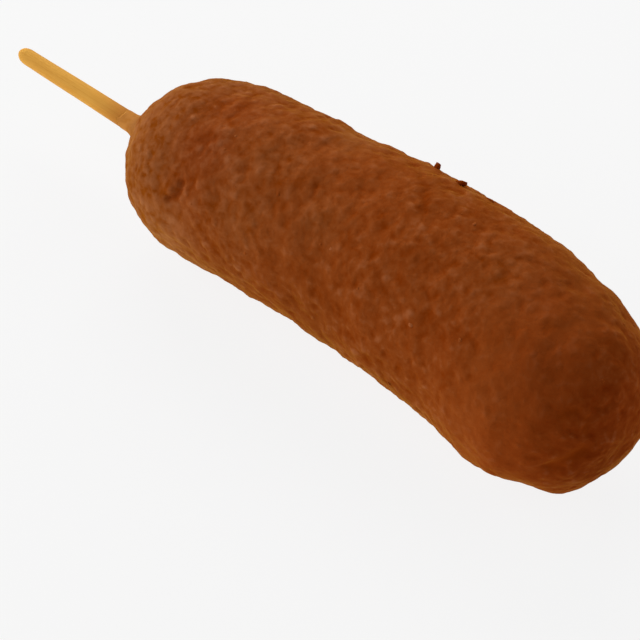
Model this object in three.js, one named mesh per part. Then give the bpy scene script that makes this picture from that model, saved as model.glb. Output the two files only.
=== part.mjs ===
// A corn dog lying on its side: a thick fried cornmeal batter coat on a round wooden stick.
// Two solids: the coat, with a straight blind socket in one end, and the stick that fills it.
// Millimetres, +Z up. The stick points along -X, and the coat rests on a flat on its underside.
// The origin is the middle of the whole part's footprint, on the surface that it lies on.
import * as THREE from "three";
import { ImprovedNoise } from "three/addons/math/ImprovedNoise.js";

// Driving dimensions.
const COAT_LENGTH = 136.5;
// Stations from the stick end's centre to the far end's centre, evenly spaced: the coat's radius,
// and how far its middle lies to +Y of the stick, because the batter is thicker on that side.
const COAT_STATIONS = [
  { radius: 21.0, sideways: 1.6 },
  { radius: 21.9, sideways: 3.3 },
  { radius: 21.8, sideways: 4.1 },
  { radius: 22.2, sideways: 5.0 },
  { radius: 22.5, sideways: 4.5 },
  { radius: 22.6, sideways: 3.5 },
  { radius: 21.8, sideways: 0.2 },
];
const REST_FLAT_DEPTH = 0.8; // how far the soft underside has settled flat

const STICK_LENGTH = 140;
const STICK_OUTSIDE = 47.7; // the length that sticks out past the coat's end
const STICK_RADIUS = 2.4;
const STICK_TIP_RADIUS = 2.1; // the handle narrows a little towards its tip
const STICK_TIP_LENGTH = 3.2; // of the rounded tip, which is longer than it is thick
const STICK_BEVEL = 0.7; // the buried end's edge
const SOCKET_CLEARANCE = 0.3;

// The collar is the thin batter that has climbed the stick.
const COLLAR_HEIGHT = 8;
const COLLAR_LIP = 0.4; // its thickness at its edge
const COLLAR_STEPS = 5;
const COLLAR_FOOT_RADIUS = 5.5;
const COLLAR_CRUST = 0.3; // the share of the crust's relief that the collar has
// The share of the stick end's radius from which its rings are centred on the coat, not the stick.
const COAT_CENTRED_FROM = 0.8;

// Relief of the fried crust: the size of each kind of unevenness, and its height.
const RELIEF = [
  { size: 17, height: 0.5 },
  { size: 7.5, height: 0.5 },
  { size: 4, height: 0.4 },
];
// Places where the batter ran thicker or thinner: x is along the coat, around is in degrees from
// +Y up over the top, and spread is how far from its middle each one fades out.
const LUMPS = [
  { x: 4, around: 150, height: -0.45, spread: 9 },
  { x: 5, around: 126, height: 0.5, spread: 4 },
  { x: 8, around: 90, height: -0.2, spread: 5 },
  { x: 12, around: 52, height: -0.5, spread: 7 },
  { x: 24.5, around: 47, height: 0.95, spread: 6 },
  { x: 31, around: -147, height: 0.35, spread: 9 },
  { x: 38.5, around: 41, height: -0.7, spread: 4.6 },
  { x: 52.6, around: 44, height: -0.3, spread: 2.8 },
  { x: 54, around: 43, height: -0.45, spread: 6 },
  { x: 66, around: 42, height: 0.15, spread: 5 },
  { x: 80, around: 38, height: -0.3, spread: 4 },
  { x: 86, around: 40, height: -0.4, spread: 7 },
  { x: 92, around: 42, height: -0.25, spread: 5 },
  { x: 106, around: 34, height: 1.15, spread: 6.5 },
  { x: 114, around: 42, height: 0.6, spread: 4.2 },
  { x: 121.5, around: -140, height: -1.2, spread: 7 },
  { x: 121.5, around: -152, height: -0.25, spread: 4 },
  { x: 122, around: 29, height: -1.05, spread: 6 },
  { x: 123, around: 50, height: -0.4, spread: 4 },
  { x: 129, around: -128, height: 0.7, spread: 5 },
  { x: 132, around: -112, height: -0.45, spread: 4.5 },
  { x: 133.7, around: -122, height: 0.35, spread: 4.5 },
];

const COAT_SEGMENTS = 62;
const COAT_RING_STEP = 2.15;
const STICK_SEGMENTS = 24;
const NOISE_OFFSET = 31.7; // keeps the noise off its lattice's zeros

const socketRadius = STICK_RADIUS + SOCKET_CLEARANCE;
const socketDepth = STICK_LENGTH - STICK_OUTSIDE + SOCKET_CLEARANCE;
const stickEndRadius = COAT_STATIONS[0].radius;
const farEndRadius = COAT_STATIONS.at(-1).radius;
const farCentreX = COAT_LENGTH - farEndRadius;
const axisHeight = stickEndRadius - REST_FLAT_DEPTH;

const stationCurve = new THREE.SplineCurve(
  COAT_STATIONS.map((s) => new THREE.Vector2(s.radius, s.sideways)),
);
const noise = new ImprovedNoise();

// A row is one ring of the coat: its place along X, its radius, its middle, how far its surface
// leans towards the ends (lean is the normal's X), and whether it carries the crust's relief.
function socketRows() {
  const row = (x, radius) => ({ x, radius, sideways: 0, height: axisHeight, lean: 0, crust: 0 });
  const steps = 6;
  const rows = [row(socketDepth, 0)];
  for (let i = 0; i <= steps; i++) {
    rows.push(row(THREE.MathUtils.lerp(socketDepth, -COLLAR_HEIGHT, i / steps), socketRadius));
  }
  return rows;
}

// From the collar's edge on the stick down to its foot, on the coat's rounded end.
function collarRows() {
  const footX = stickEndRadius - Math.sqrt(stickEndRadius ** 2 - COLLAR_FOOT_RADIUS ** 2);
  const lip = new THREE.Vector2(-COLLAR_HEIGHT, socketRadius + COLLAR_LIP);
  const bend = new THREE.Vector2(0, lip.y);
  const foot = new THREE.Vector2(footX, COLLAR_FOOT_RADIUS);
  return new THREE.QuadraticBezierCurve(lip, bend, foot).getPoints(COLLAR_STEPS).map((p) => ({
    x: p.x, radius: p.y, sideways: 0, height: axisHeight, lean: -1, crust: COLLAR_CRUST,
  }));
}

// Both ends are round, and between them the surface runs straight along X.
function leanAt(x) {
  if (x < stickEndRadius) return (x - stickEndRadius) / stickEndRadius;
  return THREE.MathUtils.clamp((x - farCentreX) / farEndRadius, 0, 1);
}

function crustRow(x) {
  const along = (x - stickEndRadius) / (farCentreX - stickEndRadius);
  const station = stationCurve.getPoint(THREE.MathUtils.clamp(along, 0, 1));
  const lean = leanAt(x);
  const radius = station.x * Math.sqrt(1 - lean ** 2);
  const coatCentred = x < stickEndRadius
    ? THREE.MathUtils.smoothstep(radius, COLLAR_FOOT_RADIUS, COAT_CENTRED_FROM * stickEndRadius)
    : 1;
  return {
    x, radius, lean, crust: 1,
    sideways: station.y * coatCentred,
    height: station.x - REST_FLAT_DEPTH,
  };
}

// The rings' places along X, a ring step apart over the surface of both ends and the barrel.
function crustPlaces() {
  const steps = (length) => Math.round(length / COAT_RING_STEP);
  const quarter = Math.PI / 2;
  const footAngle = Math.asin(COLLAR_FOOT_RADIUS / stickEndRadius);
  const places = [];
  const nearSteps = steps((quarter - footAngle) * stickEndRadius);
  for (let i = 1; i <= nearSteps; i++) {
    const angle = THREE.MathUtils.lerp(footAngle, quarter, i / nearSteps);
    places.push(stickEndRadius * (1 - Math.cos(angle)));
  }
  const barrelSteps = steps(farCentreX - stickEndRadius);
  for (let i = 1; i < barrelSteps; i++) {
    places.push(THREE.MathUtils.lerp(stickEndRadius, farCentreX, i / barrelSteps));
  }
  const farSteps = steps(quarter * farEndRadius);
  for (let i = 0; i <= farSteps; i++) {
    places.push(farCentreX + farEndRadius * Math.sin((quarter * i) / farSteps));
  }
  return places;
}

// The point of a row's ring at an angle from +Y, before any relief.
function smoothPoint(row, angle) {
  return new THREE.Vector3(
    row.x,
    row.sideways + row.radius * Math.cos(angle),
    row.height + row.radius * Math.sin(angle),
  );
}

function grainAt(point) {
  return RELIEF.reduce((sum, { size, height }) => {
    const p = point.clone().divideScalar(size).addScalar(NOISE_OFFSET);
    return sum + height * noise.noise(p.x, p.y, p.z);
  }, 0);
}

const lumps = LUMPS.map((lump) => ({
  ...lump,
  middle: smoothPoint(crustRow(lump.x), THREE.MathUtils.degToRad(lump.around)),
}));

function lumpsAt(point) {
  return lumps.reduce((sum, { middle, height, spread }) =>
    sum + height * Math.exp(-((point.distanceTo(middle) / spread) ** 2)), 0);
}

function coatPoint(row, angle) {
  const point = smoothPoint(row, angle);
  if (row.crust) {
    const outward = Math.sqrt(1 - row.lean ** 2);
    const normal = new THREE.Vector3(row.lean, outward * Math.cos(angle), outward * Math.sin(angle));
    point.addScaledVector(normal, row.crust * (grainAt(point) + lumpsAt(point)));
  }
  point.z = Math.max(point.z, 0);
  return point;
}

function coatGeometry() {
  const rows = [...socketRows(), ...collarRows(), ...crustPlaces().map(crustRow)];
  const outline = rows.map((row) => new THREE.Vector2(row.radius, row.x));
  const geometry = new THREE.LatheGeometry(outline, COAT_SEGMENTS);
  const position = geometry.getAttribute("position");
  for (let k = 0; k < position.count; k++) {
    const row = rows[k % rows.length];
    const segment = Math.floor(k / rows.length) % COAT_SEGMENTS;
    const point = coatPoint(row, (2 * Math.PI * segment) / COAT_SEGMENTS);
    position.setXYZ(k, point.x, point.y, point.z);
  }
  geometry.computeVertexNormals();
  return geometry;
}

// The stick is turned about its own length, from the buried end to the rounded tip.
function stickGeometry() {
  const buried = STICK_LENGTH - STICK_OUTSIDE;
  const outline = [
    new THREE.Vector2(0, buried),
    new THREE.Vector2(STICK_RADIUS - STICK_BEVEL, buried),
    new THREE.Vector2(STICK_RADIUS, buried - STICK_BEVEL),
    new THREE.Vector2(STICK_RADIUS, 0),
  ];
  const tipStart = -STICK_OUTSIDE + STICK_TIP_LENGTH;
  const tipSteps = 7;
  for (let i = 0; i <= tipSteps; i++) {
    const angle = (Math.PI / 2) * (i / tipSteps);
    outline.push(new THREE.Vector2(
      i === tipSteps ? 0 : STICK_TIP_RADIUS * Math.cos(angle),
      tipStart - STICK_TIP_LENGTH * Math.sin(angle),
    ));
  }
  return new THREE.LatheGeometry(outline.reverse(), STICK_SEGMENTS).rotateZ(-Math.PI / 2);
}

const crustFinish = new THREE.MeshStandardMaterial({ color: 0x8a4a1c, roughness: 0.62, metalness: 0 });
const woodFinish = new THREE.MeshStandardMaterial({ color: 0xcf9a48, roughness: 0.6, metalness: 0 });

const coat = new THREE.Mesh(coatGeometry(), crustFinish);
coat.name = "coat";

const stick = new THREE.Mesh(stickGeometry(), woodFinish);
stick.name = "stick";
stick.position.z = axisHeight;

const corndog = new THREE.Group();
corndog.add(coat, stick);

// Moves the middle of the footprint to the origin.
const extent = new THREE.Box3().setFromObject(corndog);
corndog.position.x = -(extent.min.x + extent.max.x) / 2;
corndog.position.y = -(extent.min.y + extent.max.y) / 2;

export default corndog;
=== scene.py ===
"""A corn dog on its wooden stick, lying on a plain pale floor.

The file is laid out as an add-on, with one operator for each piece and one for the stage, and is
run as a script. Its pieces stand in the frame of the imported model, in metres.
"""

import math
import random

import bmesh
import bpy
from mathutils import Matrix, Vector, noise


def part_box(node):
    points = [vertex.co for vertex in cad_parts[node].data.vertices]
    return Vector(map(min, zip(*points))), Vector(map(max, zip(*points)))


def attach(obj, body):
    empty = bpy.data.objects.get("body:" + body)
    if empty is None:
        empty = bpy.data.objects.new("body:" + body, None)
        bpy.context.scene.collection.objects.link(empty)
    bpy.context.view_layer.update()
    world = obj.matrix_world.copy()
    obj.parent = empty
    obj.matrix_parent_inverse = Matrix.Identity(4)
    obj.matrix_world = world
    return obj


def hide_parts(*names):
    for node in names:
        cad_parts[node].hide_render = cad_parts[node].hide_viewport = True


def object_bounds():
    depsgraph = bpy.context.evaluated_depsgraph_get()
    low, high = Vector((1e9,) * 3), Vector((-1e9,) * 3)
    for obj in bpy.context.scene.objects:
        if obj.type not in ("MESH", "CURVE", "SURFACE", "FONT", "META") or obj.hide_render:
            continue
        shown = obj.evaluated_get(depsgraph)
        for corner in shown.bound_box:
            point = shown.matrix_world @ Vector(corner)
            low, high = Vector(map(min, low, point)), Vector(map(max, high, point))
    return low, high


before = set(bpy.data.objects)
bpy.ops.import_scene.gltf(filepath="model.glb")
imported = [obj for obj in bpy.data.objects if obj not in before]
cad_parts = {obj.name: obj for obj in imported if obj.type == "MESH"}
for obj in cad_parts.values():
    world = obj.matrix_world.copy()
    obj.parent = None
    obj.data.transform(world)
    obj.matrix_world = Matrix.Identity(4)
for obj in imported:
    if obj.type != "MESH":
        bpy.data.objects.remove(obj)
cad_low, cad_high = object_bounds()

bl_info = {
    "name": "Corn Dog",
    "version": (1, 0, 0),
    "blender": (4, 5, 0),
    "location": "3D View > Sidebar > Corn Dog",
    "description": "Makes a fried corn dog with its crust, crumbs and wooden stick",
    "category": "Mesh",
}

MM = 0.001
MERGE_DISTANCE = 0.001 * MM
NOISE_SEED = 3  # without it, the vectors of mathutils' noise would differ from run to run
BODY = "root"

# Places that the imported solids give.
coat_low, coat_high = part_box("coat")
stick_low, stick_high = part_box("stick")
STICK_RADIUS = (stick_high.z - stick_low.z) / 2
STICK_AXIS = Vector((0, (stick_low.y + stick_high.y) / 2, (stick_low.z + stick_high.z) / 2))
COLLAR_HEIGHT = 8 * MM  # how far the thin batter has climbed the stick
COAT_END_X = coat_low.x + COLLAR_HEIGHT
COAT_MIDDLE_Z = coat_high.z / 2


# ---------------------------------------------------------------- mesh helpers


def smoothstep(low, high, value):
    """0 below low, 1 above high, and an even rise between them; low may be the larger."""
    t = min(max((value - low) / (high - low), 0.0), 1.0)
    return t * t * (3 - 2 * t)


def mix(a, b, t):
    """The value that lies a share t of the way from a to b."""
    return a + (b - a) * t


def finish_piece(name, bm, material, nodes=()):
    """Turns a bmesh into a smooth piece that rides with the part and stands for its CAD nodes."""
    bmesh.ops.recalc_face_normals(bm, faces=bm.faces)
    for face in bm.faces:
        face.smooth = True
    mesh = bpy.data.meshes.new(name)
    bm.to_mesh(mesh)
    bm.free()
    mesh.materials.append(material)
    piece = bpy.data.objects.new(name, mesh)
    bpy.context.scene.collection.objects.link(piece)
    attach(piece, BODY)
    if nodes:
        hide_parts(*nodes)
    return piece


def cad_copy(node):
    """The CAD node's mesh as a bmesh of quads, with its loose triangles merged."""
    bm = bmesh.new()
    bm.from_mesh(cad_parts[node].data)
    bmesh.ops.remove_doubles(bm, verts=bm.verts, dist=MERGE_DISTANCE)
    bmesh.ops.join_triangles(
        bm,
        faces=bm.faces,
        angle_face_threshold=math.pi,
        angle_shape_threshold=math.pi,
    )
    return bm


def limit_point(vert):
    """Where a subdivision surface puts this point of its cage, near enough for any valence."""
    count = len(vert.link_faces)
    edge_sum = Vector()
    for edge in vert.link_edges:
        edge_sum += edge.other_vert(vert).co
    corner_sum = Vector()
    for face in vert.link_faces:
        near = {vert, *(e.other_vert(vert) for e in vert.link_edges if face in e.link_faces)}
        far = [v for v in face.verts if v not in near]
        corner_sum += far[0].co if far else face.calc_center_median()
    return (vert.co * count * count + edge_sum * 4 + corner_sum) / (count * (count + 5))


def subdivided(bm, levels):
    """The subdivision surface of a bmesh whose cage is first moved out to keep its own form."""
    goals = [v.co.copy() for v in bm.verts]
    rounds = 2
    for _ in range(rounds):
        limits = [limit_point(v) for v in bm.verts]
        for vert, goal, limit in zip(bm.verts, goals, limits):
            vert.co += goal - limit
    cage_mesh = bpy.data.meshes.new("cage")
    bm.to_mesh(cage_mesh)
    bm.free()
    cage = bpy.data.objects.new("cage", cage_mesh)
    bpy.context.scene.collection.objects.link(cage)
    modifier = cage.modifiers.new("Subdivision", "SUBSURF")
    modifier.levels = modifier.render_levels = levels
    depsgraph = bpy.context.evaluated_depsgraph_get()
    fine = bmesh.new()
    fine.from_object(cage, depsgraph)
    bpy.data.objects.remove(cage)
    bpy.data.meshes.remove(cage_mesh)
    return fine


# ---------------------------------------------------------------- material helpers

# A Mix node has a set of sockets for each kind of data, and these are the ones for colours.
MIX_COLOUR_A = 6
MIX_COLOUR_B = 7
MIX_COLOUR_RESULT = 2

NOISE_RANGE = (0.3, 0.7)  # nearly all of a noise field's values lie in it
GRAIN_EDGE = 0.62  # distance from a grain's middle to its edge, in cells


def opaque(colour):
    """A colour with full alpha."""
    return (*colour, 1)


def new_material(name, roughness, specular, **constants):
    """A material with a Principled shader, and the shader's constants set on its own sockets."""
    material = bpy.data.materials.new(name)
    material.use_nodes = True
    tree = material.node_tree
    tree.nodes.clear()
    shader = tree.nodes.new("ShaderNodeBsdfPrincipled")
    output = tree.nodes.new("ShaderNodeOutputMaterial")
    tree.links.new(shader.outputs["BSDF"], output.inputs["Surface"])
    shader.inputs["Roughness"].default_value = roughness
    shader.inputs["Specular IOR Level"].default_value = specular
    for socket, value in constants.items():
        shader.inputs[socket.replace("_", " ")].default_value = value
    return material, tree, shader


def set_input(tree, socket, value):
    """Links the value if it is another node's output, or sets it on the socket."""
    if isinstance(value, bpy.types.NodeSocket):
        tree.links.new(value, socket)
    else:
        socket.default_value = value


def object_place(tree, scale=(1, 1, 1)):
    """Object coordinates, in metres, stretched by a scale."""
    place = tree.nodes.new("ShaderNodeTexCoord")
    mapping = tree.nodes.new("ShaderNodeMapping")
    mapping.inputs["Scale"].default_value = scale
    tree.links.new(place.outputs["Object"], mapping.inputs["Vector"])
    return mapping.outputs["Vector"]


def axis_value(tree, axis):
    """The place along an axis, in metres."""
    place = tree.nodes.new("ShaderNodeTexCoord")
    split = tree.nodes.new("ShaderNodeSeparateXYZ")
    tree.links.new(place.outputs["Object"], split.inputs["Vector"])
    return split.outputs[axis]


def attribute_value(tree, name):
    """A number that the mesh carries on its points."""
    node = tree.nodes.new("ShaderNodeAttribute")
    node.attribute_name = name
    return node.outputs["Fac"]


def noise_field(tree, place, size, detail=2.0, roughness=0.5, distortion=0.0):
    """Noise whose features are about a size in metres."""
    field = tree.nodes.new("ShaderNodeTexNoise")
    tree.links.new(place, field.inputs["Vector"])
    field.inputs["Scale"].default_value = 1 / size
    field.inputs["Detail"].default_value = detail
    field.inputs["Roughness"].default_value = roughness
    field.inputs["Distortion"].default_value = distortion
    return field.outputs["Fac"]


def cell_grains(tree, place, size):
    """Round grains about a size apart: 0 between them, and up to a height of their own on top."""
    cells = tree.nodes.new("ShaderNodeTexVoronoi")
    tree.links.new(place, cells.inputs["Vector"])
    cells.inputs["Scale"].default_value = 1 / size
    cells.inputs["Randomness"].default_value = 1.0
    rounded = ranged(tree, cells.outputs["Distance"], 0.0, GRAIN_EDGE, 1.0, 0.0)
    own = tree.nodes.new("ShaderNodeSeparateColor")
    tree.links.new(cells.outputs["Color"], own.inputs["Color"])
    return maths(tree, "MULTIPLY", rounded, own.outputs["Red"])


def ranged(tree, value, low, high, to_low=0.0, to_high=1.0, smooth=True):
    """A value mapped from one range to another, and kept inside it."""
    node = tree.nodes.new("ShaderNodeMapRange")
    node.interpolation_type = "SMOOTHSTEP" if smooth else "LINEAR"
    tree.links.new(value, node.inputs["Value"])
    node.inputs["From Min"].default_value = low
    node.inputs["From Max"].default_value = high
    node.inputs["To Min"].default_value = to_low
    node.inputs["To Max"].default_value = to_high
    return node.outputs["Result"]


def maths(tree, operation, a, b):
    """The result of a sum or product of two values."""
    node = tree.nodes.new("ShaderNodeMath")
    node.operation = operation
    set_input(tree, node.inputs[0], a)
    set_input(tree, node.inputs[1], b)
    return node.outputs["Value"]


def total(tree, first, *others):
    """The sum of all the values."""
    for other in others:
        first = maths(tree, "ADD", first, other)
    return first


def product(tree, first, *others):
    """All the values multiplied."""
    for other in others:
        first = maths(tree, "MULTIPLY", first, other)
    return first


def blend_colour(tree, factor, a, b, mode="MIX"):
    """Colour a, blended with colour b by a factor."""
    node = tree.nodes.new("ShaderNodeMix")
    node.data_type = "RGBA"
    node.blend_type = mode
    set_input(tree, node.inputs["Factor"], factor)
    set_input(tree, node.inputs[MIX_COLOUR_A], a)
    set_input(tree, node.inputs[MIX_COLOUR_B], b)
    return node.outputs[MIX_COLOUR_RESULT]


def bump(tree, height, distance, normal=None):
    """A normal tilted by a height from 0 to 1, whose full height is a distance in metres."""
    node = tree.nodes.new("ShaderNodeBump")
    node.inputs["Distance"].default_value = distance
    tree.links.new(height, node.inputs["Height"])
    if normal is not None:
        tree.links.new(normal, node.inputs["Normal"])
    return node.outputs["Normal"]


# ---------------------------------------------------------------- settings


class CornDogCrustSettings(bpy.types.PropertyGroup):
    """The browned batter's relief and colours."""

    pebble_size: bpy.props.FloatProperty(
        name="Pebble Size",
        description="Width of the rounded bumps that the bubbling batter sets into",
        default=2.4 * MM,
        min=0.5 * MM,
        unit="LENGTH",
    )
    pebble_height: bpy.props.FloatProperty(
        name="Pebble Height",
        description="Height of the rounded bumps",
        default=0.10 * MM,
        min=0,
        unit="LENGTH",
    )
    grain_size: bpy.props.FloatProperty(
        name="Grain Spacing",
        description="Distance between the coarse cornmeal grains that stand out of the crust",
        default=2.2 * MM,
        min=0.5 * MM,
        unit="LENGTH",
    )
    grain_height: bpy.props.FloatProperty(
        name="Grain Height",
        description="Height of the tallest cornmeal grains",
        default=0.2 * MM,
        min=0,
        unit="LENGTH",
    )
    ripple_height: bpy.props.FloatProperty(
        name="Ripple Height",
        description="Height of the short ripples between the rounded bumps",
        default=0.11 * MM,
        min=0,
        unit="LENGTH",
    )
    grit_height: bpy.props.FloatProperty(
        name="Grit Height",
        description="Height of the fine unevenness of the cornmeal",
        default=0.03 * MM,
        min=0,
        unit="LENGTH",
    )
    pit_depth: bpy.props.FloatProperty(
        name="Pit Depth",
        description="Depth of the small burst bubbles",
        default=0.2 * MM,
        min=0,
        unit="LENGTH",
    )
    tan: bpy.props.FloatVectorProperty(
        name="Tan",
        description="The crust's colour at the stick's end",
        default=(0.352, 0.101, 0.027),
        size=3,
        min=0,
        max=1,
        subtype="COLOR",
    )
    brown: bpy.props.FloatVectorProperty(
        name="Brown",
        description="The crust's main colour",
        default=(0.341, 0.0725, 0.0115),
        size=3,
        min=0,
        max=1,
        subtype="COLOR",
    )
    deep: bpy.props.FloatVectorProperty(
        name="Deep",
        description="The crust's colour at the far end and in the ruddier places",
        default=(0.312, 0.0475, 0.0045),
        size=3,
        min=0,
        max=1,
        subtype="COLOR",
    )
    blond: bpy.props.FloatVectorProperty(
        name="Blond",
        description="Colour of the thin batter round the stick",
        default=(0.47, 0.177, 0.044),
        size=3,
        min=0,
        max=1,
        subtype="COLOR",
    )
    thinnest: bpy.props.FloatVectorProperty(
        name="Thinnest",
        description="Colour of the batter at its edge on the stick, where the wood shows through",
        default=(0.67, 0.28, 0.061),
        size=3,
        min=0,
        max=1,
        subtype="COLOR",
    )
    # Also the colour of painted light from below, low on the front near the stick's end.
    pale: bpy.props.FloatVectorProperty(
        name="Pale",
        description="Colour of the places that browned least",
        default=(0.44, 0.150, 0.044),
        size=3,
        min=0,
        max=1,
        subtype="COLOR",
    )
    # Also the multiplier for painted shadow and painted shade: the dark places low on the front
    # flank and low at the far end.
    browned_most_and_shadow: bpy.props.FloatVectorProperty(
        name="Browned Most",
        description="What the crust's colour is multiplied by in the places that browned most",
        default=(0.66, 0.66, 0.5),
        size=3,
        min=0,
    )
    # Also makes the painted shade in pits, creases and valleys, as well as the darker side of the
    # random tone.
    darker: bpy.props.FloatVectorProperty(
        name="Darker",
        description="What the crust's colour is multiplied by in its pits and valleys",
        default=(0.79, 0.56, 0.12),
        size=3,
        min=0,
    )
    # Partly the light grains' own colour, partly painted highlight: it is greyer, as shine off
    # raised bumps would be.
    grain_and_highlight_colour: bpy.props.FloatVectorProperty(
        name="Grain Colour",
        description="Colour of the light cornmeal grains that show through the crust",
        default=(0.715, 0.290, 0.125),
        size=3,
        min=0,
        max=1,
        subtype="COLOR",
    )


class CornDogCrumbSettings(bpy.types.PropertyGroup):
    """The crumbs that stick to the crust."""

    count: bpy.props.IntProperty(
        name="Count",
        description="How many small crumbs are scattered over the crust",
        default=50,
        min=0,
    )
    seed: bpy.props.IntProperty(
        name="Seed",
        description="Start of the random draws that scatter the crumbs",
        default=7,
    )
    size: bpy.props.FloatProperty(
        name="Size",
        description="Width of an average crumb",
        default=0.7 * MM,
        min=0.1 * MM,
        unit="LENGTH",
    )


class CornDogStickSettings(bpy.types.PropertyGroup):
    """The round wooden stick."""

    wood: bpy.props.FloatVectorProperty(
        name="Wood",
        description="The wood's main colour",
        default=(0.94, 0.485, 0.087),
        size=3,
        min=0,
        max=1,
        subtype="COLOR",
    )
    greased: bpy.props.FloatVectorProperty(
        name="Greased",
        description="Colour of the wood that the frying oil has darkened next to the coat",
        default=(0.535, 0.176, 0.024),
        size=3,
        min=0,
        max=1,
        subtype="COLOR",
    )
    segments: bpy.props.IntProperty(
        name="Segments",
        description="Faces round the stick",
        default=72,
        min=12,
    )


class CornDogStageSettings(bpy.types.PropertyGroup):
    """Floor, light and camera."""

    floor_size: bpy.props.FloatProperty(
        name="Floor Size",
        description="Side of the square floor",
        default=8.0,
        unit="LENGTH",
    )
    lens: bpy.props.FloatProperty(
        name="Lens",
        description="Focal length of the camera, in millimetres",
        default=79.99,
    )


# ---------------------------------------------------------------- crust: relief

MEAN_SQUARE_CELL = 0.34  # of the distance to the nearest random point, in cells
PEBBLE_WARP_SIZE = 1.7  # of the noise that makes pebbles uneven, in pebbles
PEBBLE_WARP = 0.35  # how far that noise moves them, in pebbles
GRAIN_REACH = 0.42  # how far a grain's height falls off, in cells
GRAIN_SHUFFLE = 7.3  # gives neighbouring grains unlike heights
MEAN_GRAIN = 0.15
RIPPLE_SIZE = 1.5 * MM
GRIT_SIZE = 1.3 * MM
GRIT_FRACTAL = (0.9, 2.0, 2)  # how fast it gets smoother, lacunarity and octaves
PIT_SIZE = 2.3 * MM
PIT_SHIFT = Vector((9.1, 4.7, 2.3))  # keeps pits apart from the other unevenness
PIT_RANGE = (0.36, 0.6)  # the noise's values from a pit's edge to its middle

SOCKET_REACH = 0.45 * MM  # the socket's wall is nearer to the stick than this
COLLAR_RANGE = (1.5 * MM, 5 * MM)  # distances from the stick over which the relief starts
MARK_REACH = 3  # widths from its middle at which a mark has faded out
# Pits and creases are also darkened in colour: painted shade in them.
PIT_DARKNESS = 0.2
CREASE_DARKNESS = 0.8
LIP_RANGE = (COAT_END_X + 2 * MM, COAT_END_X - 2 * MM)  # where the crust turns into the thin lip
CRUST_ATTRIBUTES = ("relief", "grain", "pit", "pale", "ruddy", "dark", "lip")

# Blisters: where each is, in millimetres, how wide it spreads, and its height.
BLISTERS = (
    (Vector((-18.7, -19.5, 29.8)), 1.5, 0.8),
    (Vector((84.6, -15.8, 29.2)), 3.6, 0.3),
    (Vector((26.6, 15.4, 39.1)), 1.2, 0.55),
)
# Creases run through points on the crust, in millimetres, with a width and a depth.
CREASES = (
    (
        ((-16.0, -18.3, 32.2), (-15.5, -19.0, 31.0), (-16.2, -19.8, 29.3), (-18.4, -20.6, 27.6)),
        0.7,
        0.75,
    ),
    (((82.7, -16.3, 32.7), (83.6, -15.0, 33.4), (84.5, -14.0, 33.5)), 0.8, 0.35),
    (((86.2, -13.3, 31.8), (87.1, -13.8, 29.1)), 0.9, 0.3),
    (
        ((87.6, -15.0, 25.3), (86.8, -16.4, 24.2), (85.3, -18.1, 22.6), (83.8, -19.0, 21.3)),
        1.5,
        0.4,
    ),
    (((47.2, -13.2, 39.4), (48.9, -14.0, 38.1)), 0.5, 0.35),
    (((26.2, -7.6, 41.5), (27.6, -7.9, 41.4)), 0.5, 0.3),
    (((13.0, -7.0, 41.0), (13.6, -8.4, 40.3)), 0.5, 0.3),
)
# Paler places: where each is, in millimetres, how wide it spreads, and how pale it is. Most browned
# least.
PALE_PLACES = (
    (Vector((-44.4, -2.8, 20.2)), 14, 0.8),
    # These two, low on the front near the stick's end, are partly less browned and partly painted
    # light thrown up from the floor.
    (Vector((-34, -18, 26)), 11, 0.45),
    (Vector((-24, -22, 15)), 11, 0.75),
    (Vector((-38, -12.5, 30.5)), 5, 0.75),
    (Vector((3, -8, 42)), 12, 0.2),
    (Vector((2, -18, 32)), 9, 0.3),
    (Vector((11, -17, 32)), 7, 0.12),
    (Vector((18, -12, 39)), 6, 0.25),
    (Vector((58, -3, 44)), 7, 0.2),
    (Vector((9, 9, 41.5)), 6, 0.5),
)
# Places as ruddy as the far end, in the same way.
RUDDY_PLACES = (
    (Vector((-16, -1, 42)), 9, 0.5),
    (Vector((-15, -12, 39)), 8, 0.6),
    (Vector((-15, -18, 33)), 6, 0.4),
    (Vector((69, -2, 43)), 8, 0.35),
    (Vector((76, -13, 39)), 10, 0.4),
    (Vector((57, -17, 36)), 6, 0.2),
)
# Places that browned most, and places of painted shade and painted shadow, in the same way.
DARK_PLACES = (
    # Painted shade: the far end low down, where it turns from the light.
    (Vector((92, -12, 19)), 12, 0.8),
    (Vector((72, 5, 42)), 10, 0.4),
    # Painted shadow: these three, low on the front flank, stand for the shadow of a neighbouring
    # corn dog that is not built.
    (Vector((3, -21, 18)), 12, 0.35),
    (Vector((22, -21, 19)), 14, 0.55),
    (Vector((44, -22, 17)), 12, 0.35),
    (Vector((37, 3, 44)), 9, 0.25),
    (Vector((43, -18.5, 32)), 5, 0.2),
)


def pebbles(place, size):
    """Rounded bumps, from about -1 between them to 1 on their tops."""
    warp = noise.noise_vector(place / (PEBBLE_WARP_SIZE * size)) * (PEBBLE_WARP * size)
    distances = noise.voronoi((place + warp) / size)[0]
    return 1 - distances[0] ** 2 / MEAN_SQUARE_CELL


def grains(place, size):
    """Separate soft grains, each with its own height up to 1, and 0 between them."""
    distances, points = noise.voronoi(place / size)
    own_height = noise.cell(points[0] * GRAIN_SHUFFLE)
    return own_height * math.exp(-((distances[0] / GRAIN_REACH) ** 2))


def ripples(place):
    """Short ripples, from about -1 to 1."""
    return noise.noise(place / RIPPLE_SIZE)


def grit(place):
    """Fine unevenness, about a millimetre wide."""
    return noise.fractal(place / GRIT_SIZE, *GRIT_FRACTAL)


def pits(place):
    """Small burst bubbles: 0 over most of the crust and 1 in the middle of a pit."""
    return smoothstep(*PIT_RANGE, noise.noise(place / PIT_SIZE + PIT_SHIFT))


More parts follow.
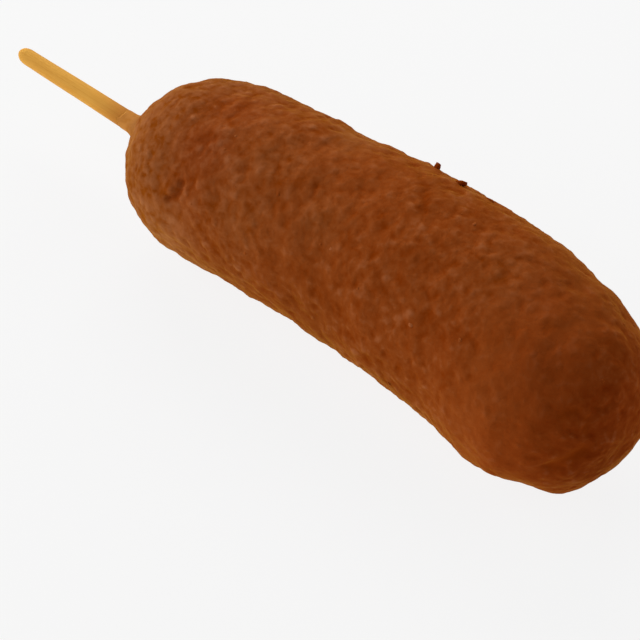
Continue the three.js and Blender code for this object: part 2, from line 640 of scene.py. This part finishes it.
def relief_strength(x):
    """How strong the relief is along the coat: the collar and the far end are smoother."""
    before_far_end = mix(1.1, 0.6, smoothstep(45 * MM, 78 * MM, x))
    return before_far_end * mix(0.25, 1.0, smoothstep(-43 * MM, -26 * MM, x))


def from_axis(place):
    """How far a place is from the stick's axis."""
    return math.hypot(place.y - STICK_AXIS.y, place.z - STICK_AXIS.z)


def relief_shown(place):
    """The share of the relief at a place: none in the socket, and little on the collar."""
    from_stick = from_axis(place) - STICK_RADIUS
    if from_stick < SOCKET_REACH:
        return 0.0
    return 1.0 if place.x > 0 else smoothstep(*COLLAR_RANGE, from_stick)


def distance_to_path(place, path):
    """Distance from a place to a line through points."""
    best = math.inf
    for a, b in zip(path, path[1:]):
        along = b - a
        t = min(max((place - a).dot(along) / along.length_squared, 0), 1)
        best = min(best, (place - a - along * t).length)
    return best


def marks_at(place, creases, blisters):
    """The height that creases and blisters add at a place, and the painted shade that darkens the
    creases.
    """
    height = darkness = 0.0
    for path, width, depth in creases:
        away = distance_to_path(place, path) / width
        if away < MARK_REACH:
            fade = math.exp(-away * away)
            height -= depth * fade
            darkness = max(darkness, CREASE_DARKNESS * fade)
    for middle, spread, rise in blisters:
        away = (place - middle).length / spread
        if away < MARK_REACH:
            height += rise * math.exp(-away * away)
    return height, darkness


def strongest(places, place):
    """The largest strength that any of the round, fading places has at a point."""
    return max(
        strength * math.exp(-((place / MM - middle).length / spread) ** 2)
        for middle, spread, strength in places
    )


class CORNDOG_OT_crust(bpy.types.Operator):
    """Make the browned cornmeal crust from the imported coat"""

    bl_idname = "corndog.crust"
    bl_label = "Make Crust"
    bl_options = {"REGISTER", "UNDO"}

    def execute(self, context):
        settings = context.scene.corndog_crust
        noise.seed_set(NOISE_SEED)
        bm = subdivided(cad_copy("coat"), levels=2)
        bm.normal_update()
        self.raise_relief(bm, settings)
        self.close_lip(bm)
        for vert in bm.verts:
            vert.co.z = max(vert.co.z, 0)
        finish_piece("crust", bm, crust_material(settings), ("coat",))
        return {"FINISHED"}

    def raise_relief(self, bm, settings):
        """Moves the crust's points by their relief, and stores what its material needs."""
        layers = {name: bm.verts.layers.float.new(name) for name in CRUST_ATTRIBUTES}
        creases = [
            ([Vector(point) * MM for point in path], width * MM, depth * MM)
            for path, width, depth in CREASES
        ]
        blisters = [(middle * MM, spread * MM, rise * MM) for middle, spread, rise in BLISTERS]
        for vert in bm.verts:
            place = vert.co.copy()
            strength = relief_strength(place.x)
            shown = relief_shown(place)
            grain = grains(place, settings.grain_size)
            pit = pits(place)
            height = settings.pebble_height * pebbles(place, settings.pebble_size)
            height += settings.grain_height * (grain - MEAN_GRAIN)
            height += settings.ripple_height * ripples(place)
            height += settings.grit_height * grit(place)
            height = strength * height - settings.pit_depth * pit
            mark_height, mark_darkness = marks_at(place, creases, blisters)
            vert[layers["relief"]] = height / MM
            vert[layers["grain"]] = grain * strength
            # The pit attribute carries the painted shade of the pits and creases.
            vert[layers["pit"]] = max(PIT_DARKNESS * pit, mark_darkness) * shown
            vert[layers["pale"]] = strongest(PALE_PLACES, place)
            vert[layers["ruddy"]] = strongest(RUDDY_PLACES, place)
            vert[layers["dark"]] = strongest(DARK_PLACES, place)
            vert[layers["lip"]] = smoothstep(*LIP_RANGE, place.x)
            vert.co += vert.normal * ((height + mark_height) * shown)

    def close_lip(self, bm):
        """Draws the lip of batter in onto the stick, so that no gap shows round it."""
        lip_end = coat_low.x
        seat = STICK_RADIUS - 0.04 * MM
        thickness_left = 0.09
        unevenness = 1.3
        longest_tongue = 2.2 * MM
        for vert in bm.verts:
            across = Vector((0, vert.co.y - STICK_AXIS.y, vert.co.z - STICK_AXIS.z))
            radius = across.length
            if radius > 2 * STICK_RADIUS or vert.co.x > COAT_END_X:
                continue
            closed = smoothstep(lip_end + 6.5 * MM, lip_end + 0.5 * MM, vert.co.x)
            new_radius = mix(radius, seat + (radius - seat) * thickness_left, closed)
            tongue = 0.5 + 0.5 * noise.noise(across.normalized() * unevenness)
            near_end = smoothstep(lip_end + 5 * MM, lip_end, vert.co.x)
            vert.co += across * (new_radius / radius - 1)
            vert.co.x += longest_tongue * tongue * near_end


# ---------------------------------------------------------------- crust: material

# Stretches of the coat over which its colour changes from one to the next.
TAN_TO_BROWN = (-31 * MM, 9 * MM)
BROWN_TO_DEEP = (46 * MM, 78 * MM)
DEEP_SLANT = -0.6  # the far end darker low down: partly browning, partly painted shade
BLOND_TO_THINNEST = (COAT_END_X - 2 * MM, COAT_END_X - 7 * MM)
GRAIN_SHARE = 0.24  # of the grains' colour at the lightest tone
PIT_SHARE = 0.75  # of the dark colour in the deepest pit

# Widths of the painted texture's features.
BROAD_SIZE = 22 * MM
MOTTLE_SIZE = 2.8 * MM
STROKE_SIZE = 1.5 * MM
FINE_SIZE = 1.0 * MM
MEAL_SIZE = 1.7 * MM
BUMP_SIZE = 0.7 * MM
# The darkest and lightest tone that each of them adds, and the ones of the relief.
BROAD_TONES = (-0.03, 0.03)
MOTTLE_TONES = (-0.14, 0.14)
STROKE_TONES = (-0.09, 0.08)
FINE_TONES = (-0.05, 0.05)
MEAL_TONES = (-0.05, 0.1)
GRAIN_TONES = (-0.05, 0.16)
# The relief's tones paint raised tops lighter and hollows darker: painted highlight and painted
# shade.
RELIEF_TONES = (-0.18, 0.18)
# The values at which those tones are reached, for the parts that don't use NOISE_RANGE.
STROKE_RANGE = (0.34, 0.66)
GRAIN_RANGE = (0.0, 0.9)
RELIEF_RANGE = (-0.16, 0.16)  # in millimetres

# The texture's strength along the coat: from where to where, in millimetres, and the values there.
# It is strongest at the stick's end and weakest just before the far end.
STRENGTH_FACTORS = ((-35, -12, 1.25, 0.95), (54, 70, 1.08, 0.5))
STRENGTH_STEPS = ((78, 88, 0, 0.5), (2, 12, 0, -0.2), (22, 32, 0, 0.2))
LIP_STRENGTH = 0.5
UNDERSIDE_STRENGTH = 0.45
UNDERSIDE_RANGE = (6 * MM, 17 * MM)


def crust_shader(name):
    """A dry crust: hardly any shine, and a warm sheen where its fine crumbs catch the light."""
    return new_material(
        name,
        roughness=0.85,
        specular=0.015,
        Sheen_Weight=0.22,
        Sheen_Roughness=0.35,
        Sheen_Tint=(1.0, 0.58, 0.0, 1.0),
    )


def browned(tree, settings, base, tone):
    """A base colour, darker for a tone below 0.5, and with light grains and painted highlight for a
    tone above it.
    """
    white = (1, 1, 1, 1)
    below = ranged(tree, tone, 0.0, 0.5, smooth=False)
    factor = blend_colour(tree, below, opaque(settings.darker), white)
    colour = blend_colour(tree, 1.0, base, factor, mode="MULTIPLY")
    light = ranged(tree, tone, 0.5, 1.0, 0.0, GRAIN_SHARE, smooth=False)
    return blend_colour(tree, light, colour, opaque(settings.grain_and_highlight_colour))


def colour_along(tree, settings):
    """The crust's colour from end to end, with painted shade low down at the far end."""
    x = axis_value(tree, "X")
    tan, brown, deep = (opaque(c) for c in (settings.tan, settings.brown, settings.deep))
    colour = blend_colour(tree, ranged(tree, x, *TAN_TO_BROWN), tan, brown)
    # The slant makes the far end's lower side deep first: partly browning, partly painted shade
    # where it turns from the light.
    reach = total(tree, x, product(tree, axis_value(tree, "Z"), DEEP_SLANT))
    return blend_colour(tree, ranged(tree, reach, *BROWN_TO_DEEP), colour, deep)


def base_colour(tree, settings):
    """The crust's colour with its ruddier, paler and darker places, some of them painted light,
    shade and shadow, and the thin lip's.
    """
    ruddy, pale, dark, lip = (
        attribute_value(tree, name) for name in ("ruddy", "pale", "dark", "lip")
    )
    colour = colour_along(tree, settings)
    colour = blend_colour(tree, ruddy, colour, opaque(settings.deep))
    colour = blend_colour(tree, pale, colour, opaque(settings.pale))
    # Darker places: partly browning, partly painted shade and painted shadow.
    colour = blend_colour(tree, dark, colour, opaque(settings.browned_most_and_shadow), mode="MULTIPLY")
    climbed = ranged(tree, axis_value(tree, "X"), *BLOND_TO_THINNEST)
    thin = blend_colour(tree, climbed, opaque(settings.blond), opaque(settings.thinnest))
    return blend_colour(tree, lip, colour, thin)


def texture_strength(tree):
    """How strong the painted texture is: less on the lip and on the smoother underside."""
    x = axis_value(tree, "X")
    factors = [ranged(tree, x, a * MM, b * MM, *to) for a, b, *to in STRENGTH_FACTORS]
    steps = [ranged(tree, x, a * MM, b * MM, *to) for a, b, *to in STRENGTH_STEPS]
    along = total(tree, product(tree, *factors), *steps)
    on_lip = ranged(tree, attribute_value(tree, "lip"), 0.0, 1.0, 1.0, LIP_STRENGTH)
    z = axis_value(tree, "Z")
    underneath = ranged(tree, z, *UNDERSIDE_RANGE, UNDERSIDE_STRENGTH, 1.0)
    return product(tree, along, on_lip, underneath)


def crust_material(settings):
    """Browned batter: its colour, its painted texture with painted highlight and shade on its
    bumps, and its finest bumps.
    """
    material, tree, shader = crust_shader("fried crust")
    place = object_place(tree)
    broad = noise_field(tree, place, BROAD_SIZE)
    mottle = noise_field(tree, place, MOTTLE_SIZE, distortion=0.8)
    strokes = noise_field(tree, place, STROKE_SIZE, detail=1, distortion=0.3)
    fine = noise_field(tree, place, FINE_SIZE, detail=1)
    meal = cell_grains(tree, place, MEAL_SIZE)
    grain, relief = attribute_value(tree, "grain"), attribute_value(tree, "relief")
    # Strokes, meal and grains are also bump heights, so their tones are partly lighter cornmeal and
    # partly painted highlight and shade on the bumps.
    texture = total(
        tree,
        ranged(tree, mottle, *NOISE_RANGE, *MOTTLE_TONES),
        ranged(tree, fine, *NOISE_RANGE, *FINE_TONES),
        ranged(tree, strokes, *STROKE_RANGE, *STROKE_TONES),
        ranged(tree, meal, *GRAIN_RANGE, *MEAL_TONES, smooth=False),
        ranged(tree, grain, *GRAIN_RANGE, *GRAIN_TONES, smooth=False),
        ranged(tree, relief, *RELIEF_RANGE, *RELIEF_TONES, smooth=False),
    )
    texture = product(tree, texture, texture_strength(tree))
    middle_tone = 0.5
    tone = total(tree, texture, ranged(tree, broad, *NOISE_RANGE, *BROAD_TONES), middle_tone)
    colour = browned(tree, settings, base_colour(tree, settings), tone)
    # Painted shade in the pits and creases.
    pit = product(tree, attribute_value(tree, "pit"), PIT_SHARE)
    dark = [a * b for a, b in zip(settings.brown, settings.darker)]
    colour = blend_colour(tree, pit, colour, opaque(dark))
    tree.links.new(colour, shader.inputs["Base Color"])
    normal = bump(tree, noise_field(tree, place, BUMP_SIZE, detail=1), 0.04 * MM)
    normal = bump(tree, strokes, 0.1 * MM, normal)
    normal = bump(tree, meal, 0.1 * MM, normal)
    tree.links.new(normal, shader.inputs["Normal"])
    return material


# ---------------------------------------------------------------- crumbs

# Where crumbs are scattered: above a height, clear of the stick, and out of the pits.
CRUMB_MIN_HEIGHT = 0.6 * MM
CRUMB_MIN_RADIUS = 3 * STICK_RADIUS
CRUMB_MAX_PIT = 0.01
# What is drawn for each: lengths and heights in widths, tones, and how far it is sunk, in heights.
CRUMB_WIDTH_SPREAD = 0.3
CRUMB_LENGTHS = (0.9, 1.5)
CRUMB_HEIGHTS = (0.35, 0.55)
CRUMB_TONES = (0.4, 0.65)
CRUMB_SUNK = (0.2, 0.35)
CRUMB_ROUNDNESS = 0.8
CRUMB_LUMP_RATE = 1.6  # lumps across one width
CRUMB_LUMP_HEIGHT = 0.2
CRUMB_LUMP_SHIFT = 50  # how far apart the noise of two crumbs may be

# Crumbs and flakes that stand out at the coat's edges, and light specks: place, width along, across
# and height in millimetres, how many degrees the end away from the stick is lifted, and tone.
CRUMBS = (
    (Vector((26.5, 15.85, 39.6)), (1.45, 1.2, 1.9), 0, 0.02),
    (Vector((34.4, 13.8, 41.0)), (2.8, 1.9, 1.35), 17, 0.0),
    (Vector((29.0, 15.9, 38.4)), (2.0, 1.2, 0.6), 0, 0.2),
    (Vector((41.5, 14.3, 40.4)), (2.2, 1.4, 0.7), 0, 0.25),
    (Vector((24.0, -14.35, 35.5)), (1.1, 0.9, 0.35), 0, 1.0),
    (Vector((30.0, -18.7, 28.95)), (1.0, 1.1, 0.35), 0, 1.0),
    (Vector((48.1, -18.1, 33.6)), (1.2, 1.0, 0.4), 0, 1.0),
)


def crumb_shape():
    """Points and faces of a rounded lump one unit wide."""
    bm = bmesh.new()
    bmesh.ops.create_cube(bm, size=1)
    bmesh.ops.subdivide_edges(bm, edges=bm.edges, cuts=1, use_grid_fill=True)
    points = [v.co.lerp(v.co.normalized() * 0.5, CRUMB_ROUNDNESS) for v in bm.verts]
    faces = [[v.index for v in face.verts] for face in bm.faces]
    bm.free()
    return points, faces


class CrumbPile:
    """Points, faces and tones of crumbs that are added one by one."""

    def __init__(self, rng):
        self.rng = rng
        self.shape_points, self.shape_faces = crumb_shape()
        self.points, self.faces, self.tones = [], [], []

    def add(self, place, outward, turned, size, tone):
        """Adds one uneven crumb, turned from the coat's length and outward direction."""
        start = len(self.points)
        shift = Vector([self.rng.uniform(0, CRUMB_LUMP_SHIFT) for _ in range(3)])
        up = outward.normalized()
        across = up.cross((1, 0, 0)).normalized()
        axes = Matrix((across.cross(up), across, up)).transposed() @ turned
        for point in self.shape_points:
            lump = noise.noise_vector(point * CRUMB_LUMP_RATE + shift) * CRUMB_LUMP_HEIGHT
            uneven = point + lump
            self.points.append(place + axes @ Vector(a * b for a, b in zip(uneven, size)))
            self.tones.append(tone)
        self.faces.extend([start + i for i in face] for face in self.shape_faces)

    def as_bmesh(self):
        """All the crumbs as one bmesh, with their tones on its points."""
        mesh = bpy.data.meshes.new("crumb_lumps")
        mesh.from_pydata(self.points, [], self.faces)
        bm = bmesh.new()
        bm.from_mesh(mesh)
        bpy.data.meshes.remove(mesh)
        tone_layer = bm.verts.layers.float.new("tone")
        for vert, tone in zip(bm.verts, self.tones):
            vert[tone_layer] = tone
        return bm


class CORNDOG_OT_crumbs(bpy.types.Operator):
    """Scatter crumbs and flakes of batter over the crust"""

    bl_idname = "corndog.crumbs"
    bl_label = "Scatter Crumbs"
    bl_options = {"REGISTER", "UNDO"}

    def execute(self, context):
        settings = context.scene.corndog_crumbs
        noise.seed_set(NOISE_SEED)
        rng = random.Random(settings.seed)
        pile = CrumbPile(rng)
        crust = bpy.data.objects["crust"].data
        pit = crust.attributes["pit"].data
        shown = [
            f for f in crust.polygons
            if f.center.z > CRUMB_MIN_HEIGHT
            and from_axis(f.center) > CRUMB_MIN_RADIUS
            and pit[f.vertices[0]].value < CRUMB_MAX_PIT
        ]
        chosen = rng.choices(shown, weights=[f.area for f in shown], k=settings.count)
        for face in chosen:
            width = settings.size * rng.lognormvariate(0, CRUMB_WIDTH_SPREAD)
            length = width * rng.uniform(*CRUMB_LENGTHS)
            size = Vector((length, width, width * rng.uniform(*CRUMB_HEIGHTS)))
            tone = rng.uniform(*CRUMB_TONES)
            place = face.center - face.normal * size.z * rng.uniform(*CRUMB_SUNK)
            turned = Matrix.Rotation(rng.uniform(0, math.tau), 3, "Z")
            pile.add(place, face.normal, turned, size, tone)
        middle = Vector((0, STICK_AXIS.y, COAT_MIDDLE_Z))
        for place, size, lift, tone in CRUMBS:
            outward = place * MM - middle
            outward.x = 0
            turned = Matrix.Rotation(-math.radians(lift), 3, "Y")
            pile.add(place * MM, outward, turned, Vector(size) * MM, tone)
        material = crumb_material(context.scene.corndog_crust)
        finish_piece("crumbs", pile.as_bmesh(), material)
        return {"FINISHED"}


def crumb_material(settings):
    """The crust's colours, from each crumb's own tone."""
    material, tree, shader = crust_shader("crumbs")
    place = object_place(tree)
    fine = noise_field(tree, place, 0.5 * MM, roughness=0.6)
    own_tone = attribute_value(tree, "tone")
    tone = total(tree, own_tone, ranged(tree, fine, *NOISE_RANGE, -0.15, 0.15))
    colour = browned(tree, settings, colour_along(tree, settings), tone)
    tree.links.new(colour, shader.inputs["Base Color"])
    grit_field = noise_field(tree, place, 0.3 * MM, roughness=0.6)
    tree.links.new(bump(tree, grit_field, 0.05 * MM), shader.inputs["Normal"])
    return material


# ---------------------------------------------------------------- stick

# The tip and the buried end are the solid's.
STICK_NARROWING = 0.3 * MM  # how much smaller the radius is at the tip
STICK_TIP_LENGTH = 3.2 * MM
STICK_BEVEL = 0.7 * MM
STICK_SHOWN_X = COAT_END_X + 4 * MM  # from here to the tip the rings are close together
HIDDEN_STEPS = 10
SHOWN_STEPS = 70
TIP_STEPS = 14
# Unevenness of the wood: its size along the stick, its size across, and its height.
FIBRES = (16 * MM, 0.5 * MM, 0.035)
WANDER = (11 * MM, 3 * MM, 0.05)
STICK_SUNK = 0.03  # so that the uneven wood stays inside the solid, in millimetres
STREAK_DARKNESS = (0.9, 0.8, 0.66)
GREASED_RANGE = (COAT_END_X - 20 * MM, COAT_END_X - 4 * MM)
GREASED_MOST = 0.95


def spun(profile, steps):
    """A closed surface turned round the X axis from (x, radius) points that end on the axis."""
    bm = bmesh.new()
    verts = [bm.verts.new((x, radius, 0)) for x, radius in profile]
    edges = [bm.edges.new(pair) for pair in zip(verts, verts[1:])]
    bmesh.ops.spin(
        bm,
        geom=verts + edges,
        cent=(0, 0, 0),
        axis=(1, 0, 0),
        dvec=(0, 0, 0),
        angle=2 * math.pi,
        steps=steps,
        use_merge=True,
        use_normal_flip=False,
        use_duplicate=False,
    )
    bmesh.ops.remove_doubles(bm, verts=bm.verts, dist=MERGE_DISTANCE)
    return bm


def stick_profile():
    """(x, radius) points from the buried end to the rounded tip."""
    tip_radius = STICK_RADIUS - STICK_NARROWING
    tip_start = stick_low.x + STICK_TIP_LENGTH
    bevel_x = stick_high.x - STICK_BEVEL
    points = [
        (stick_high.x, 0),
        (stick_high.x, STICK_RADIUS - STICK_BEVEL),
        (bevel_x, STICK_RADIUS),
    ]
    for i in range(1, HIDDEN_STEPS):
        points.append((mix(bevel_x, STICK_SHOWN_X, i / HIDDEN_STEPS), STICK_RADIUS))
    for i in range(SHOWN_STEPS + 1):
        x = mix(STICK_SHOWN_X, tip_start, i / SHOWN_STEPS)
        narrowed = max(0, (COAT_END_X - x) / (COAT_END_X - tip_start))
        points.append((x, mix(STICK_RADIUS, tip_radius, narrowed)))
    for i in range(1, TIP_STEPS + 1):
        angle = math.pi / 2 * i / TIP_STEPS
        radius = 0 if i == TIP_STEPS else tip_radius * math.cos(angle)
        points.append((tip_start - STICK_TIP_LENGTH * math.sin(angle), radius))
    return points


def wood_unevenness(place, size_along, size_across, height):
    """Noise that is drawn out along the stick, from about minus the height to the height."""
    place = Vector((place.x / size_along, place.y / size_across, place.z / size_across))
    return height * noise.noise(place)


class CORNDOG_OT_stick(bpy.types.Operator):
    """Make the round wooden stick"""

    bl_idname = "corndog.stick"
    bl_label = "Make Stick"
    bl_options = {"REGISTER", "UNDO"}

    def execute(self, context):
        settings = context.scene.corndog_stick
        bm = spun(stick_profile(), settings.segments)
        pole_radius = 0.3 * MM
        for vert in bm.verts:
            across = Vector((0, vert.co.y, vert.co.z))
            if across.length < pole_radius:
                continue
            uneven = wood_unevenness(vert.co, *FIBRES) + wood_unevenness(vert.co, *WANDER)
            vert.co += across.normalized() * (uneven - STICK_SUNK) * MM
        bmesh.ops.translate(bm, verts=bm.verts, vec=STICK_AXIS)
        finish_piece("wooden_stick", bm, wood_material(settings), ("stick",))
        return {"FINISHED"}


def wood_material(settings):
    """Pale wood with streaks along the stick, browned by oil next to the coat."""
    material, tree, shader = new_material("pale wood", roughness=0.7, specular=0.06)
    deep = [c * f for c, f in zip(settings.wood, STREAK_DARKNESS)]
    fine_place = object_place(tree, (0.035, 1, 1))
    streak = noise_field(tree, fine_place, 0.32 * MM, detail=3, roughness=0.6)
    broad = noise_field(tree, object_place(tree, (0.1, 1, 1)), 2.2 * MM)
    tone = total(
        tree,
        ranged(tree, streak, 0.35, 0.7, 0, 0.75),
        ranged(tree, broad, *NOISE_RANGE, 0, 0.35),
    )
    colour = blend_colour(tree, tone, opaque(settings.wood), opaque(deep))
    near_coat = ranged(tree, axis_value(tree, "X"), *GREASED_RANGE, 0, GREASED_MOST)
    colour = blend_colour(tree, near_coat, colour, opaque(settings.greased))
    tree.links.new(colour, shader.inputs["Base Color"])
    tree.links.new(bump(tree, streak, 0.06 * MM), shader.inputs["Normal"])
    return material


# ---------------------------------------------------------------- stage

FLOOR_GAP = 0.05 * MM  # between the coat's flat and the floor
FLOOR_COLOUR = (0.1, 0.1, 0.1)
FLOOR_GLOW = 0.86
WORLD_STRENGTH = 0.03
LIGHT_DISTANCE = 0.9
LIGHT_SIDE = 0.75
# Each light's name, its azimuth and elevation in degrees, and its power in watts.
LIGHTS = (
    ("back", -137.5, 35, 4.8),
    ("back_left", -92.5, 35, 0.7),
    ("left", -47.5, 30, 4.7),
    ("right", 132.5, 30, 2.0),
)
CAMERA_PLACE = Vector((161.75, -168.19, 235.96)) * MM
CAMERA_AZIMUTH = 42.5
CAMERA_ELEVATION = 47
SENSOR_WIDTH = 36  # in millimetres
NEAREST_SEEN = 0.01


def spherical(azimuth, elevation):
    """A direction from the part, from degrees: azimuth from -Y towards +X, and elevation."""
    a, e = math.radians(azimuth), math.radians(elevation)
    return Vector((math.sin(a) * math.cos(e), -math.cos(a) * math.cos(e), math.sin(e)))


def area_light(name, place, aim, side, power):
    """A square light at a place, turned to shine on its aim."""
    data = bpy.data.lights.new(name, "AREA")
    data.shape = "RECTANGLE"
    data.size = data.size_y = side
    data.energy = power
    lamp = bpy.data.objects.new(name, data)
    bpy.context.scene.collection.objects.link(lamp)
    lamp.location = place
    lamp.rotation_euler = (aim - place).to_track_quat("-Z", "Y").to_euler()


class CORNDOG_OT_stage(bpy.types.Operator):
    """Make the pale floor, the soft light and the camera"""

    bl_idname = "corndog.stage"
    bl_label = "Make Stage"
    bl_options = {"REGISTER", "UNDO"}

    def execute(self, context):
        settings = context.scene.corndog_stage
        scene = context.scene
        self.make_floor(settings)
        self.make_lights(scene)
        self.make_camera(scene, settings)
        scene.view_settings.view_transform = "Standard"
        scene.view_settings.look = "None"
        return {"FINISHED"}

    def make_floor(self, settings):
        """A plain floor that glows almost white, so that it shows hardly any shadow."""
        bm = bmesh.new()
        bmesh.ops.create_grid(bm, x_segments=1, y_segments=1, size=settings.floor_size / 2)
        bmesh.ops.translate(bm, verts=bm.verts, vec=(0, 0, -FLOOR_GAP))
        mesh = bpy.data.meshes.new("floor")
        bm.to_mesh(mesh)
        bm.free()
        material, _, shader = new_material("pale floor", roughness=0.9, specular=0.0)
        shader.inputs["Base Color"].default_value = opaque(FLOOR_COLOUR)
        shader.inputs["Emission Color"].default_value = (1, 1, 1, 1)
        shader.inputs["Emission Strength"].default_value = FLOOR_GLOW
        mesh.materials.append(material)
        floor = bpy.data.objects.new("floor", mesh)
        bpy.context.scene.collection.objects.link(floor)

    def make_lights(self, scene):
        """A faint even light from all round, and four large lamps."""
        world = bpy.data.worlds.new("studio")
        world.use_nodes = True
        background = world.node_tree.nodes["Background"]
        background.inputs["Color"].default_value = (1, 1, 1, 1)
        background.inputs["Strength"].default_value = WORLD_STRENGTH
        scene.world = world
        middle = (cad_low + cad_high) / 2
        for name, azimuth, elevation, power in LIGHTS:
            place = middle + spherical(azimuth, elevation) * LIGHT_DISTANCE
            area_light(name, place, middle, LIGHT_SIDE, power)

    def make_camera(self, scene, settings):
        """The camera, which looks down from between the corn dog's front and its far end."""
        data = bpy.data.cameras.new("camera")
        data.lens = settings.lens
        data.sensor_width = SENSOR_WIDTH
        data.clip_start = NEAREST_SEEN
        camera = bpy.data.objects.new("camera", data)
        scene.collection.objects.link(camera)
        back = spherical(CAMERA_AZIMUTH, CAMERA_ELEVATION)
        camera.location = CAMERA_PLACE
        camera.rotation_euler = back.to_track_quat("Z", "Y").to_euler()
        scene.camera = camera


# ---------------------------------------------------------------- panel


class CORNDOG_PT_panel(bpy.types.Panel):
    """Lists the pieces of the corn dog"""

    bl_idname = "CORNDOG_PT_panel"
    bl_label = "Corn Dog"
    bl_space_type = "VIEW_3D"
    bl_region_type = "UI"
    bl_category = "Corn Dog"

    def draw(self, context):
        for operator in OPERATORS:
            self.layout.operator(operator.bl_idname)


OPERATORS = (CORNDOG_OT_crust, CORNDOG_OT_crumbs, CORNDOG_OT_stick, CORNDOG_OT_stage)
SETTINGS = {
    "corndog_crust": CornDogCrustSettings,
    "corndog_crumbs": CornDogCrumbSettings,
    "corndog_stick": CornDogStickSettings,
    "corndog_stage": CornDogStageSettings,
}
CLASSES = (*SETTINGS.values(), *OPERATORS, CORNDOG_PT_panel)


def register():
    """Adds the operators, the panel and the settings."""
    for cls in CLASSES:
        bpy.utils.register_class(cls)
    for name, cls in SETTINGS.items():
        setattr(bpy.types.Scene, name, bpy.props.PointerProperty(type=cls))


def unregister():
    """Takes the settings, the panel and the operators away again."""
    for name in SETTINGS:
        delattr(bpy.types.Scene, name)
    for cls in reversed(CLASSES):
        bpy.utils.unregister_class(cls)


def main():
    """Makes every piece and the stage."""
    register()
    bpy.ops.corndog.crust()
    bpy.ops.corndog.crumbs()
    bpy.ops.corndog.stick()
    bpy.ops.corndog.stage()


if __name__ == "__main__":
    main()
